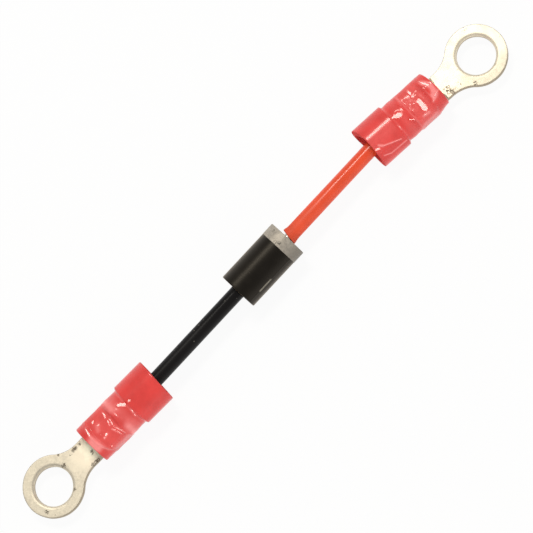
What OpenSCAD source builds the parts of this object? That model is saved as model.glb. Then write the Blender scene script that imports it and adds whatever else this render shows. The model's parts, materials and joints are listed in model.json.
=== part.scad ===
// Axial rectifier diode with sleeved leads and a crimped ring terminal on each end.
// It lies on the collars of its two insulators. +X points to the cathode end and +Z is up.
// The origin lies midway between the two stud holes, on the surface that carries the part.

/* [Diode] */
// Diameter of the moulded body
body_d = 5.3; // [4.8:0.1:6.5]
// Length of the moulded body
body_l = 9.1; // [7:0.1:12]
// Edge radius at both ends of the body
body_edge = 0.1; // [0.1:0.05:0.5]
// Width of the printed cathode band
band_w = 1.6; // [0.8:0.1:3]
// Thickness of the printed band
band_t = 0.03; // [0.02:0.01:0.1]
// Side of the square silicon die
die_w = 2.2; // [1.6:0.1:2.6]
// Thickness of the silicon die
die_t = 0.3; // [0.2:0.05:0.5]
// Thickness of each solder layer on the die
solder_t = 0.1; // [0.06:0.02:0.2]

/* [Leads] */
// Diameter of the tinned copper leads
lead_d = 1.25; // [1:0.05:1.5]
// Diameter of the nail head that carries the die
nail_d = 3.3; // [2.4:0.1:3.8]
// Thickness of the nail head
nail_t = 0.6; // [0.4:0.05:1]
// Length of each lead between the body and its insulator
lead_show = 15.05; // [8:0.05:30]
// Depth inside the collar at which a lead turns
bend_in = 2.3; // [1.5:0.1:3]
// Bend radius of a lead
bend_r = 12; // [6:1:14]
// Swelling of a lead at its bend
bend_swell = 0.01; // [0.01:0.005:0.02]
// Turn of the cathode terminal seen from above, in degrees
cathode_turn = -5.1; // [-10:0.1:10]
// Turn of the anode terminal seen from above, in degrees
anode_turn = -2; // [-10:0.1:10]
// Distance from the tip of a lead to the front of its barrel
tip_back = 0.6; // [0.2:0.1:1.5]

/* [Sleeves] */
// Wall of the tubing on the leads
sleeve_wall = 0.32; // [0.2:0.02:0.5]
// Gap between a lead and its tubing
sleeve_fit = 0.03; // [0.02:0.01:0.08]
// Gap between the body and the end of the tubing
sleeve_gap = 0.03; // [0.01:0.01:0.5]
// Distance from the end of the tubing to the bend in the lead
sleeve_stop = 0.4; // [0.2:0.1:1]
// Radial widening of the cathode tubing at the diode
flare = 0.12; // [0.05:0.01:0.3]
// Length of the flared end
flare_l = 1.4; // [0.8:0.1:3]
// Slant of the flared end, in degrees
flare_cut = 10; // [0:1:20]

/* [Ring terminals] */
// Outside diameter of the ring
ring_d = 8; // [7:0.1:10]
// Diameter of the stud hole
hole_d = 5; // [3.2:0.1:5.4]
// Rounding of the upper edge of the stud hole
hole_edge = 0.2; // [0.1:0.05:0.4]
// Thickness of the sheet metal
sheet_t = 0.8; // [0.6:0.05:1]
// Width of the neck behind the ring
neck_w = 3.7; // [3:0.1:4]
// Fillet between ring and neck
neck_fillet = 4.25; // [2:0.25:5]
// Length of flat neck behind the fillets
neck_flat = 0.1; // [0.1:0.1:2]
// Length over which the neck rolls up towards the barrel
roll_l = 0.8; // [0.6:0.1:2]
// Length of the sloping front corners of the barrel
corner_l = 0.4; // [0.4:0.1:0.8]
// Length of the barrel
barrel_l = 6; // [5.2:0.1:6.6]
// Room round a lead in the open barrel
barrel_room = 0.32; // [0.1:0.02:0.5]
// Gap along the seam of the barrel
seam_gap = 0.15; // [0.05:0.05:0.3]
// Distance from the front of the barrel to the crimp
crimp_at = 1.5; // [1:0.1:1.8]
// Length of the crimp
crimp_l = 3.5; // [2.4:0.1:3.6]
// Length of the slope at each end of the crimp
crimp_ramp = 0.8; // [0.5:0.1:1]
// Gap left above and below the lead in the crimp
crimp_fit = 0.02; // [0.01:0.01:0.1]

/* [Insulators] */
// Length of an insulator
insulator_l = 11.5; // [11.2:0.1:14]
// Length of the collar at its mouth
collar_l = 4.5; // [3.5:0.1:4.6]
// Wall of the vinyl
vinyl_wall = 0.93; // [0.6:0.01:1.2]
// Wall that the crimp leaves
crimp_wall = 0.6; // [0.4:0.05:0.9]
// Gap between the barrel and the vinyl
vinyl_fit = 0.05; // [0.03:0.01:0.1]
// Room round the tubing in the collar
collar_room = 1.1; // [0.9:0.05:1.6]
// Flattening of the collar
collar_press = 0.2; // [0:0.05:0.6]
// Length of the step up to the collar
step_l = 0.5; // [0.3:0.1:0.8]
// Rounding at the two ends of the vinyl
vinyl_edge = 0.15; // [0.1:0.05:0.4]
// Barrel that shows in front of the anode insulator
anode_bare = 0.3; // [-0.45:0.05:0.8]
// Barrel that shows in front of the cathode insulator, negative where the vinyl covers its corners
cathode_bare = -0.45; // [-0.45:0.05:0.8]

/* [Hidden] */
$fn = 64;
// Overlap that keeps cuts clean
eps = 0.5;
// Sides of the vinyl, half of the points across the sheet and steps along a blend
vinyl_sides = 32;
sheet_steps = 24;
blend_steps = 4;

// Places along the lead, measured outwards from the middle of the body
body_end = body_l / 2;
nail_face = die_t / 2 + solder_t;
bend_at = body_end + lead_show + bend_in;

// Rolled barrel: radius of the middle of the sheet, plain and in the crimp
mid_r = lead_d / 2 + barrel_room + sheet_t / 2;
crimp_mid = lead_d / 2 + crimp_fit + sheet_t / 2;
seam_angle = 180 - seam_gap / 2 / mid_r * 180 / PI;
neck_angle = neck_w / 2 / mid_r * 180 / PI;

// Fillets between ring and neck, measured from the middle of the stud hole
fillet_y = neck_w / 2 + neck_fillet;
fillet_x = sqrt(pow(ring_d / 2 + neck_fillet, 2) - fillet_y * fillet_y);
fillet_root = fillet_y * ring_d / 2 / (ring_d / 2 + neck_fillet);
tongue_l = fillet_x + neck_flat + roll_l + corner_l;

// Tubing and the collar round it
sleeve_bore = lead_d / 2 + sleeve_fit;
sleeve_r = sleeve_bore + sleeve_wall;
collar_bore = sleeve_r + collar_room;
collar_half = [collar_bore + collar_press / 2, collar_bore - collar_press / 2];
plain_half = mid_r + sheet_t / 2 + vinyl_fit + vinyl_wall;

// Places along a terminal, measured from the bend in the lead towards the ring
vinyl_front = insulator_l - bend_in;
function front_at(bare) = vinyl_front + bare;
function ring_at(bare) = front_at(bare) + tongue_l;

// Middle of the stud holes, and the height of the lead above the surface
cathode_hole = [
    bend_at + ring_at(cathode_bare) * cos(cathode_turn), ring_at(cathode_bare) * sin(cathode_turn)
];
anode_hole = [
    -bend_at - ring_at(anode_bare) * cos(anode_turn), -ring_at(anode_bare) * sin(anode_turn)
];
middle = (cathode_hole + anode_hole) / 2;
vinyl_low = max(collar_half[1] + vinyl_wall, plain_half) * cos(180 / vinyl_sides);
axis_z = max(vinyl_low, body_d / 2 + band_t);

// Shape functions
function smooth(k) = let (c = max(0, min(1, k))) c * c * (3 - 2 * c);
function mix(a, b, k) = a + (b - a) * k;
function steps(a, b) = [for (i = [0:blend_steps]) mix(a, b, i / blend_steps)];

// Length from the corner of a bend to its ends, and how far a straight stretch runs into it
function tangent(turn) = bend_r * tan(abs(turn) / 2);
function bend_lap(turn) = turn == 0 ? lead_d : tangent(turn) / 4;

// Crimp pressure at a distance q behind the front of the barrel
function press(q) = smooth((q - crimp_at) / crimp_ramp) * smooth((crimp_at + crimp_l - q) / crimp_ramp);

// Middle of the barrel wall as half width and half height, with the sheet's length kept
function wall_half(q) =
    let (high = mix(mid_r, crimp_mid, press(q))) [sqrt(2 * mid_r * mid_r - high * high), high];

// Places behind the barrel front where the barrel's section changes
crimp_places = concat(
    steps(crimp_at, crimp_at + crimp_ramp), steps(crimp_at + crimp_l - crimp_ramp, crimp_at + crimp_l)
);

// Section of the rolled sheet at q: half angle, half width, half height and middle height
function sheet_section(q) =
    q >= 0 ? concat([seam_angle], wall_half(q), [0]) :
    q > -corner_l ? [mix(neck_angle, seam_angle, smooth(1 + q / corner_l)), mid_r, mid_r, 0] :
    let (
        angle = neck_angle * smooth((q + corner_l + roll_l) / roll_l),
        radius = neck_w / 2 / angle * 180 / PI
    )
    [angle, radius, radius, radius - mid_r];

// Point at the share u of the sheet's width, half a sheet to the outside (-1) or inside (1)
function sheet_point(section, u, face) =
    let (
        angle = u * section[0],
        across = [-section[2] * sin(angle), section[1] * cos(angle)],
        shift = across / norm(across) * face * sheet_t / 2
    )
    [section[1] * sin(angle) + shift[0], section[3] - section[2] * cos(angle) + shift[1]];
function flat_point(u, face) = [u * neck_w / 2, -mid_r + face * sheet_t / 2];
function sheet_loop(q, front) =
    let (flat = q <= -corner_l - roll_l, section = flat ? [] : sheet_section(q))
    [
        for (face = [-1, 1], i = [0:sheet_steps])
            let (
                u = -face * (2 * i / sheet_steps - 1),
                p = flat ? flat_point(u, face) : sheet_point(section, u, face)
            )
            [front - q, p[0], p[1]]
    ];

// Vinyl at q: half width and half height of its hole and of its outside
function seat(q) = let (half = wall_half(min(q, barrel_l)), grow = sheet_t / 2 + vinyl_fit) half + [grow, grow];
function vinyl_hole(q, step_at) = mix(seat(q), collar_half, smooth((q - barrel_l) / (step_at - barrel_l)));
function vinyl_skin(q, step_at) =
    let (
        wall = mix(vinyl_wall, crimp_wall, press(q)),
        main = seat(q) + [wall, wall],
        collar = collar_half + [vinyl_wall, vinyl_wall]
    )
    mix(main, collar, smooth((q - step_at + step_l / 2) / step_l));
function oval(place, half) =
    [
        for (i = [0:vinyl_sides - 1])
            let (angle = (i + 0.5) * 360 / vinyl_sides)
            [place, half[0] * sin(angle), -half[1] * cos(angle)]
    ];

// Triangles between two loops of n points, the second loop following the first
function band_faces(first, second, n) =
    [
        for (i = [0:n - 1])
            let (k = (i + 1) % n)
            each [[first + i, first + k, second + k], [first + i, second + k, second + i]]
    ];

// Moves the middle of the body to its place above the origin
module placed() {
    translate([-middle[0], -middle[1], axis_z]) children();
}

module anode_side() {
    rotate([0, 0, 180]) children();
}

module along_x() {
    rotate([0, 90, 0]) children();
}

module at_terminal(turn) {
    translate([bend_at, 0, 0]) rotate([0, 0, turn]) children();
}

module body_outline() {
    straight = body_l - 2 * body_edge;
    translate([0, -straight / 2]) square([body_d / 2, straight]);
    translate([0, -body_l / 2]) square([body_d / 2 - body_edge, body_l]);
    for (end = [-1, 1])
        translate([body_d / 2 - body_edge, end * straight / 2]) circle(r = body_edge);
}

module die_block() {
    cube([die_t, die_w, die_w], center = true);
}

module solder_block() {
    translate([die_t / 2, -die_w / 2, -die_w / 2]) cube([solder_t, die_w, die_w]);
}

module nail(length) {
    along_x() translate([0, 0, nail_face]) {
        cylinder(d = nail_d, h = nail_t);
        cylinder(d = lead_d, h = length);
    }
}

module left_bend(turn) {
    translate([bend_at - tangent(turn), bend_r, 0]) rotate([0, 0, -90])
        rotate_extrude(angle = turn) translate([bend_r, 0]) circle(r = lead_d / 2 + bend_swell);
}

module lead(turn, bare) {
    shift = tangent(turn) - bend_lap(turn);
    nail(bend_at - shift - nail_face);
    if (turn > 0) left_bend(turn);
    if (turn < 0) mirror([0, 1, 0]) left_bend(-turn);
    at_terminal(turn) along_x() translate([0, 0, shift])
        cylinder(d = lead_d, h = front_at(bare) - tip_back - shift);
}

module sleeve_tube(turn, widening) {
    start = body_end + sleeve_gap;
    finish = bend_at - tangent(turn) - sleeve_stop;
    along_x() rotate_extrude() polygon([
        [sleeve_bore + widening, start], [sleeve_r + widening, start], [sleeve_r, start + flare_l],
        [sleeve_r, finish], [sleeve_bore, finish], [sleeve_bore, start + flare_l]
    ]);
}

module flare_trim() {
    wide = sleeve_r + flare;
    translate([body_end + sleeve_gap + wide * tan(flare_cut), 0, 0]) rotate([0, 0, -flare_cut])
        translate([-body_l, -body_d, -body_d]) cube([body_l, 2 * body_d, 2 * body_d]);
}

module tongue_plan() {
    circle(d = ring_d);
    difference() {
        translate([-fillet_x, -fillet_root]) square([fillet_x, 2 * fillet_root]);
        for (side = [-1, 1])
            translate([-fillet_x, side * fillet_y]) circle(r = neck_fillet);
    }
    translate([-fillet_x - neck_flat, -neck_w / 2]) square([neck_flat + sheet_t, neck_w]);
}

module stud_hole() {
    top = sheet_t / 2;
    translate([0, 0, -sheet_t]) cylinder(d = hole_d, h = 2 * sheet_t);
    rotate_extrude() difference() {
        translate([hole_d / 2 - eps, top - hole_edge]) square([eps + hole_edge, hole_edge + eps]);
        translate([hole_d / 2 + hole_edge, top - hole_edge]) circle(r = hole_edge);
    }
}

module rolled_barrel(front) {
    roll_places = concat([-tongue_l + fillet_x], steps(-corner_l - roll_l, -corner_l));
    corner_places = [for (i = [1:blend_steps]) -corner_l * (1 - i / blend_steps)];
    places = concat(roll_places, corner_places, crimp_places, [barrel_l]);
    n = 2 * (sheet_steps + 1);
    last = len(places) - 1;
    polyhedron(
        points = [for (q = places) each sheet_loop(q, front)],
        faces = concat(
            [for (i = [0:sheet_steps - 1]) each [[n - 1 - i, i + 1, i], [n - 1 - i, n - 2 - i, i + 1]]],
            [for (k = [0:last - 1]) each band_faces(k * n, (k + 1) * n, n)],
            [
                for (i = [0:sheet_steps - 1])
                    let (a = last * n + i, b = last * n + n - 1 - i)
                    each [[b, a, a + 1], [b, a + 1, b - 1]]
            ]
        )
    );
}

module ring_terminal(turn, bare) {
    at_terminal(turn) {
        translate([ring_at(bare), 0, -mid_r]) difference() {
            translate([0, 0, -sheet_t / 2]) linear_extrude(sheet_t) tongue_plan();
            stud_hole();
        }
        rolled_barrel(front_at(bare));
    }
}

module insulator(turn, bare) {
    front = front_at(bare);
    step_at = bare + insulator_l - collar_l;
    mouth = bare + insulator_l;
    places = concat(
        [bare, bare + vinyl_edge], crimp_places, steps(barrel_l, step_at - step_l / 2),
        [for (i = [1:blend_steps]) step_at - step_l / 2 + step_l * i / blend_steps],
        [mouth - vinyl_edge, mouth]
    );
    n = vinyl_sides;
    last = len(places) - 1;
    inside = (last + 1) * n;
    rounding = [vinyl_edge, vinyl_edge];
    at_terminal(turn) polyhedron(
        points = concat(
            [
                for (k = [0:last])
                    let (end = k == 0 || k == last, half = vinyl_skin(places[k], step_at))
                    each oval(front - places[k], end ? half - rounding : half)
            ],
            [for (q = places) each oval(front - q, vinyl_hole(q, step_at))]
        ),
        faces = concat(
            [for (k = [0:last - 1]) each band_faces(k * n, (k + 1) * n, n)],
            [for (k = [0:last - 1]) each band_faces(inside + (k + 1) * n, inside + k * n, n)],
            band_faces(inside, 0, n),
            band_faces(last * n, inside + last * n, n)
        )
    );
}

module diode_body() {
    color("#272523") placed() difference() {
        along_x() rotate_extrude() body_outline();
        nail(body_l);
        anode_side() nail(body_l);
        die_block();
        solder_block();
        anode_side() solder_block();
    }
}

module cathode_band() {
    color("#a8a297") placed() along_x() translate([0, 0, body_end - body_edge - band_w]) difference() {
        cylinder(r = body_d / 2 + band_t, h = band_w);
        translate([0, 0, -eps]) cylinder(d = body_d, h = band_w + 2 * eps);
    }
}

module cathode_lead() {
    color("#c9c4b8") placed() lead(cathode_turn, cathode_bare);
}

module anode_lead() {
    color("#c9c4b8") placed() anode_side() lead(anode_turn, anode_bare);
}

module silicon_die() {
    color("#5a5f66") placed() die_block();
}

module cathode_solder() {
    color("#9a9a9a") placed() solder_block();
}

module anode_solder() {
    color("#9a9a9a") placed() anode_side() solder_block();
}

module cathode_sleeve() {
    color("#e0502f") placed() difference() {
        sleeve_tube(cathode_turn, flare);
        flare_trim();
    }
}

module anode_sleeve() {
    color("#242223") placed() anode_side() sleeve_tube(anode_turn, 0);
}

module cathode_terminal() {
    color("#ddd2b8") placed() ring_terminal(cathode_turn, cathode_bare);
}

module anode_terminal() {
    color("#ddd2b8") placed() anode_side() ring_terminal(anode_turn, anode_bare);
}

module cathode_insulator() {
    color("#dc4a48") placed() insulator(cathode_turn, cathode_bare);
}

module anode_insulator() {
    color("#dc4a48") placed() anode_side() insulator(anode_turn, anode_bare);
}

diode_body();
cathode_band();
cathode_lead();
anode_lead();
silicon_die();
cathode_solder();
anode_solder();
cathode_sleeve();
anode_sleeve();
cathode_terminal();
anode_terminal();
cathode_insulator();
anode_insulator();
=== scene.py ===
"""Visible pieces, finishes and stage of a sleeved rectifier diode with two crimped ring terminals."""

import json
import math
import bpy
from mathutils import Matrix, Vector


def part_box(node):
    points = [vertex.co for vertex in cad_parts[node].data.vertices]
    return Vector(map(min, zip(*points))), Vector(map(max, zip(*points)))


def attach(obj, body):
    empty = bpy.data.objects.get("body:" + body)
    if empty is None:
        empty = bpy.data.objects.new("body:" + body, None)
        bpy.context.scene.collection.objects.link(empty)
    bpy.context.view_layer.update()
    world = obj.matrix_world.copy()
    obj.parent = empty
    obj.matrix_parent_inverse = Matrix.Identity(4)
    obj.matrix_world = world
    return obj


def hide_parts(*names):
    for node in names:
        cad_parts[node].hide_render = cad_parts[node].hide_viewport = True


bl_info = {
    "name": "Sleeved rectifier diode",
    "version": (1, 0, 0),
    "blender": (4, 5, 0),
    "location": "3D View > Sidebar > Diode",
    "description": "Builds the visible pieces of a rectifier diode with sleeved leads and ring terminals",
    "category": "Object",
}

import bmesh
import bpy
import numpy as np
from bpy.props import FloatProperty, FloatVectorProperty, IntProperty, PointerProperty
from mathutils import Matrix, Vector, noise

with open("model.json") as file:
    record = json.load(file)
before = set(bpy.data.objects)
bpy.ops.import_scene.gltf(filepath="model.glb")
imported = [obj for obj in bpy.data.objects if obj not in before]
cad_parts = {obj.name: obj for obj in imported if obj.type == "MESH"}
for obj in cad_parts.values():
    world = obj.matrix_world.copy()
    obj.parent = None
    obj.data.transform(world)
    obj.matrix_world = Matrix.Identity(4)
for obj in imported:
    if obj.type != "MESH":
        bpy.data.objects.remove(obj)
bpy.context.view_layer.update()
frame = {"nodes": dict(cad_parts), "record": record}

MM = 0.001
PER_METRE = 1000.0
BODY_LOW, BODY_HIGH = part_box("diode_body")
BODY_MIDDLE = (BODY_LOW + BODY_HIGH) / 2
BODY_HALF = (BODY_HIGH.x - BODY_LOW.x) / 2
BAND_LOW, BAND_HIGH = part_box("cathode_band")
SIDES = ("cathode", "anode")
POINTS_ROUND_BODY = 240


# Property makers


def length(name, description, default):
    """A length property whose default is given in millimetres."""
    kind = {"precision": 5, "subtype": "DISTANCE", "unit": "LENGTH"}
    return FloatProperty(name=name, description=description, default=default * MM, **kind)


def angle(name, description, default):
    """An angle property whose default is given in degrees."""
    kind = {"subtype": "ANGLE", "unit": "ROTATION"}
    return FloatProperty(name=name, description=description, default=math.radians(default), **kind)


def share(name, description, default):
    """A share of full brightness."""
    kind = {"min": 0.0, "soft_max": 1.0, "subtype": "FACTOR"}
    return FloatProperty(name=name, description=description, default=default, **kind)


def power(name, description, default):
    """The power of a lamp, whose default is given in watts."""
    return FloatProperty(name=name, description=description, default=default, unit="POWER")


def colour(name, description, default):
    """A colour property in linear red, green and blue."""
    kind = {"size": 4, "min": 0.0, "max": 1.0, "subtype": "COLOR"}
    return FloatVectorProperty(name=name, description=description, default=(*default, 1.0), **kind)


# Sizes and colours that a user would change


class DiodeBodySizes(bpy.types.PropertyGroup):
    """Moulded body and its printed band."""

    diameter: length("Diameter", "Diameter of the moulded body", 5.3)
    edge: length("Edge radius", "Rounding at both ends of the body", 0.1)
    lead_bore: length("Lead bore", "Diameter of the passage round each lead", 1.27)
    chip_room: length("Chip room", "Diameter of the room round the chip and its nail heads", 3.32)
    chip_length: length("Chip length", "Length of the room round the chip", 1.74)
    parting_line: length("Parting line", "Height of the moulding line along both sides", 0.02)
    parting_angle: angle("Parting angle", "Place of the moulding line above the horizontal, on the front", 27)
    band_ragged: length("Ragged ink", "Unevenness of the band's edge on the body", 0.035)


class SleeveSizes(bpy.types.PropertyGroup):
    """Tubing on the two leads."""

    diameter: length("Diameter", "Outside diameter of the tubing", 1.95)
    wall: length("Wall", "Wall of the tubing", 0.32)
    flare: length("Flare", "Widening of the cathode tubing at the diode", 0.12)
    flare_length: length("Flare length", "Length of the flared end", 1.4)
    cut: angle("Slant", "Slant of the flared end", 10)
    ripple: length("Ripple", "Unevenness of the tubing", 0.01)
    stations: IntProperty(name="Stations", description="Loops along the tubing", default=160)
    around: IntProperty(name="Sides", description="Points round the tubing", default=48)


class TerminalSizes(bpy.types.PropertyGroup):
    """Stamped and rolled ring terminals."""

    bend_reach: length("Bend reach", "Distance from the middle of the body to the bend in a lead", 21.9)
    ring_diameter: length("Ring diameter", "Outside diameter of the ring", 8.0)
    hole_diameter: length("Hole diameter", "Diameter of the stud hole", 5.0)
    sheet: length("Sheet", "Thickness of the sheet metal", 0.8)
    neck: length("Neck width", "Width of the neck behind the ring", 3.7)
    fillet: length("Neck fillet", "Fillet between ring and neck", 4.25)
    neck_flat: length("Flat neck", "Length of flat neck behind the fillets", 0.85)
    roll: length("Roll length", "Length over which the neck rolls up", 0.25)
    corner: length("Corner length", "Length of the sloping front corners of the barrel", 0.2)
    barrel: length("Barrel length", "Length of the barrel", 6.0)
    barrel_radius: length("Barrel radius", "Radius of the middle of the barrel's sheet", 1.345)
    crimp_radius: length("Crimp radius", "Half height of the middle of the sheet in the crimp", 1.045)
    seam: length("Seam", "Gap along the seam of the barrel", 0.15)
    crimp_at: length("Crimp start", "Distance from the front of the barrel to the crimp", 1.5)
    crimp_length: length("Crimp length", "Length of the crimp", 3.5)
    crimp_ramp: length("Crimp ramp", "Slope at each end of the crimp", 0.8)
    edge: length("Cut edge", "Rounding of the stamped edges", 0.1)
    rim: length("Hole rim", "Rounding of the upper edge of the stud hole", 0.42)
    dent: length("Unevenness", "Unevenness of the stamped sheet", 0.016)


class InsulatorSizes(bpy.types.PropertyGroup):
    """Vinyl insulators on the barrels."""

    size: length("Length", "Length of an insulator", 11.5)
    front: length("Front", "Distance from the bend in the lead to the ring end of the vinyl", 9.2)
    radius: length("Radius", "Radius of the plain vinyl", 2.725)
    crimp_wide: length("Crimp half width", "Half width of the pressed vinyl", 2.66)
    crimp_high: length("Crimp half height", "Half height of the pressed vinyl", 2.095)
    collar_wide: length("Collar half width", "Half width of the collar", 3.09)
    collar_high: length("Collar half height", "Half height of the collar", 2.885)
    collar: length("Collar length", "Length of the collar at the mouth", 4.5)
    step: length("Step length", "Length of the step up to the collar", 0.3)
    bore_wide: length("Mouth half width", "Half width of the hole in the collar", 2.175)
    bore_high: length("Mouth half height", "Half height of the hole in the collar", 1.975)
    fit: length("Fit", "Gap between the barrel and the vinyl", 0.05)
    anode_bare: length("Anode barrel", "Barrel in front of the anode insulator", -0.45)
    cathode_bare: length("Cathode barrel", "Barrel in front of the cathode insulator", -0.45)
    jaw_lean: angle("Jaw lean", "Turn of the crimping marks round the insulator", 15)
    anode_facet: angle("Anode facets", "Lean of the anode's pressed facets towards its mouth", 12)
    cathode_facet: angle("Cathode facets", "Lean of the cathode's pressed facets towards its mouth", -3)
    side_facet: angle("Facet tilt", "Tilt of the pressed facets towards the back", 4)
    crest: length("Crest", "Height of the lip that the crimping jaw pushes up", 0.12)
    wrinkle: length("Wrinkles", "Height of the wrinkles in the crimp", 0.035)


class FinishColours(bpy.types.PropertyGroup):
    """Main colours of the finishes."""

    epoxy: colour("Epoxy", "Moulded body", (0.0038, 0.0031, 0.0025))
    ink: colour("Ink", "Cathode band", (0.39, 0.348, 0.29))
    red_tubing: colour("Red tubing", "Cathode sleeve", (0.815, 0.081, 0.026))
    black_tubing: colour("Black tubing", "Anode sleeve", (0.006, 0.005, 0.005))
    vinyl: colour("Vinyl", "Insulators", (0.755, 0.057, 0.050))
    # Also the colour of the painted highlights and painted light on the insulators
    stretched_vinyl: colour("Stretched vinyl", "Vinyl that the crimp has paled", (1.0, 0.28, 0.27))
    tin: colour("Tin", "Plating of the terminals", (0.82, 0.745, 0.60))
    wire: colour("Wire", "Plating of the leads", (0.72, 0.69, 0.63))


class StageSizes(bpy.types.PropertyGroup):
    """Camera, lamps and floor."""

    elevation: angle("Elevation", "Camera height above the horizon", 75)
    azimuth: angle("Azimuth", "Camera turn round the object", -0.1)
    axis_angle: angle("Axis angle", "Slope of the body's axis in the picture", 46.92)
    distance: length("Distance", "Distance from the camera to the body", 325)
    view_width: length("View width", "Width of the picture at the body", 66.625)
    aim_right: length("Aim right", "Aim of the camera to the right of the body's middle", 0.46)
    aim_up: length("Aim up", "Aim of the camera above the body's middle", -0.2)
    key_power: power("Key power", "Power of the key lamp", 0.93)
    fill_power: power("Fill power", "Power of the fill lamp", 0.9)
    dome: share("Dome", "Brightness of the dome overhead", 0.46)
    floor_glow: share("Floor white", "Share of plain white in the floor", 0.93)


# Number helpers


def smooth(k):
    """Smooth step of k, held between 0 and 1."""
    held = np.clip(k, 0.0, 1.0)
    return held * held * (3.0 - 2.0 * held)


def mix(a, b, k):
    """The value that lies the share k of the way from a to b."""
    return a + (b - a) * k


def hump(x, middle, width):
    """A bell of height 1 at the middle."""
    return np.exp(-(((x - middle) / width) ** 2))


def grain(points, size, seed):
    """Smooth noise from about -1 to 1 at each point, with features of the given size."""
    shift = Vector((seed * 17.3, seed * 7.1, seed * 3.7))
    flat = np.asarray(points).reshape(-1, 3) / size
    values = [noise.noise(Vector(p) + shift) for p in flat]
    return np.array(values).reshape(np.shape(points)[:-1])


def segment_distance(x, y, start, end):
    """Distance of each point from a segment, and the share of the way along it."""
    dx = end[0] - start[0]
    dy = end[1] - start[1]
    along = np.clip(((x - start[0]) * dx + (y - start[1]) * dy) / (dx * dx + dy * dy), 0.0, 1.0)
    return np.hypot(x - start[0] - along * dx, y - start[1] - along * dy), along


class Run:
    """A straight stretch of the assembly, with its own directions along, across and up."""

    def __init__(self, origin, along):
        self.origin = np.array(origin)
        self.along = np.array(along) / np.linalg.norm(along)
        self.across = np.array([-self.along[1], self.along[0], 0.0])
        if self.across[1] < 0:
            self.across = -self.across
        self.up = np.array([0.0, 0.0, 1.0])

    def place(self, along, across, up):
        """Points of the frame from distances along, across towards +Y and up."""
        parts = (along, self.along), (across, self.across), (up, self.up)
        return self.origin + sum(np.asarray(d)[..., None] * axis for d, axis in parts)


def body_run():
    """The run along the axis of the diode body, towards the cathode."""
    return Run(BODY_MIDDLE, (1.0, 0.0, 0.0))


def terminal_run(side, sizes):
    """The run from the bend in a lead to its ring, with the distance of the stud hole along it."""
    ring = next(m for m in frame["record"]["mounts"] if m["name"] == side + "_ring")["pos_m"]
    reach = sizes.bend_reach if side == "cathode" else -sizes.bend_reach
    bend = np.array([BODY_MIDDLE.x + reach, BODY_MIDDLE.y, BODY_MIDDLE.z])
    along = np.array([ring[0] - bend[0], ring[1] - bend[1], 0.0])
    return Run(bend, along), float(np.linalg.norm(along))


# Mesh helpers


def strip_faces(first, second):
    """Quads between two rows of point numbers."""
    return list(zip(first, first[1:], second[1:], second))


def loop_faces(first, second):
    """Quads between two closed loops of point numbers."""
    return strip_faces([*first, first[0]], [*second, second[0]])


def wrapped_faces(rows, columns):
    """Quads of a lattice that closes on itself both ways."""
    loops = np.arange(rows * columns).reshape(rows, columns).tolist()
    return [face for r in range(rows) for face in loop_faces(loops[r], loops[(r + 1) % rows])]


def new_object(name, data):
    """A new object in the scene."""
    made = bpy.data.objects.new(name, data)
    bpy.context.scene.collection.objects.link(made)
    return made


def smooth_piece(name, mesh, crease):
    """A new object for a mesh, with smooth shading up to the crease angle in degrees."""
    mesh.polygons.foreach_set("use_smooth", [True] * len(mesh.polygons))
    mesh.set_sharp_from_angle(angle=math.radians(crease))
    return new_object(name, mesh)


def new_piece(name, points, faces, material, crease):
    """A closed piece with outward faces and smooth shading up to the crease angle in degrees."""
    mesh = bpy.data.meshes.new(name)
    mesh.from_pydata(np.asarray(points).reshape(-1, 3).tolist(), [], faces)
    shell = bmesh.new()
    shell.from_mesh(mesh)
    bmesh.ops.recalc_face_normals(shell, faces=shell.faces)
    shell.to_mesh(mesh)
    shell.free()
    mesh.materials.append(material)
    return smooth_piece(name, mesh, crease)


def point_attribute(piece, name, values):
    """Stores one number for each point of a piece."""
    layer = piece.data.attributes.new(name, "FLOAT", "POINT")
    layer.data.foreach_set("value", np.asarray(values, dtype=np.float32).ravel())


def settle(piece, slot, *nodes):
    """Lets a piece ride on the part in place of the CAD nodes that it stands for."""
    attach(piece, "root")
    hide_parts(*nodes)


def revolved(name, outline, relief, material, crease):
    """A piece turned about the body's axis from (along, radius) pairs, with a relief that shifts them."""
    around = POINTS_ROUND_BODY
    turn = np.arange(around) * 2 * np.pi / around
    along, radius = (np.repeat(column[:, None], around, axis=1) for column in np.transpose(outline))
    along, radius = relief(along, turn, radius)
    points = body_run().place(along, radius * np.cos(turn), radius * np.sin(turn))
    return new_piece(name, points, wrapped_faces(len(outline), around), material, crease)


# Node helpers


class Wire:
    """A node socket that takes part in Python arithmetic by adding Math nodes."""

    def __init__(self, board, socket):
        self.board = board
        self.socket = socket

    def math(self, operation, first, second=0.0):
        return self.board.node("ShaderNodeMath", {0: first, 1: second}, operation=operation)

    def __add__(self, other):
        return self.math("ADD", self, other)

    def __radd__(self, other):
        return self.math("ADD", other, self)

    def __sub__(self, other):
        return self.math("SUBTRACT", self, other)

    def __rsub__(self, other):
        return self.math("SUBTRACT", other, self)

    def __mul__(self, other):
        return self.math("MULTIPLY", self, other)

    def __rmul__(self, other):
        return self.math("MULTIPLY", other, self)

    def __truediv__(self, other):
        return self.math("DIVIDE", self, other)

    def __rtruediv__(self, other):
        return self.math("DIVIDE", other, self)

    def __abs__(self):
        return self.math("ABSOLUTE", self)

    def most(self, other):
        """The larger of this and another value."""
        return self.math("MAXIMUM", self, other)

    def step(self, low, high, start=0.0, end=1.0):
        """A smooth step from start to end as this value goes from low to high."""
        sockets = {"Value": self, "From Min": low, "From Max": high, "To Min": start, "To Max": end}
        return self.board.node("ShaderNodeMapRange", sockets, interpolation_type="SMOOTHSTEP")


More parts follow.
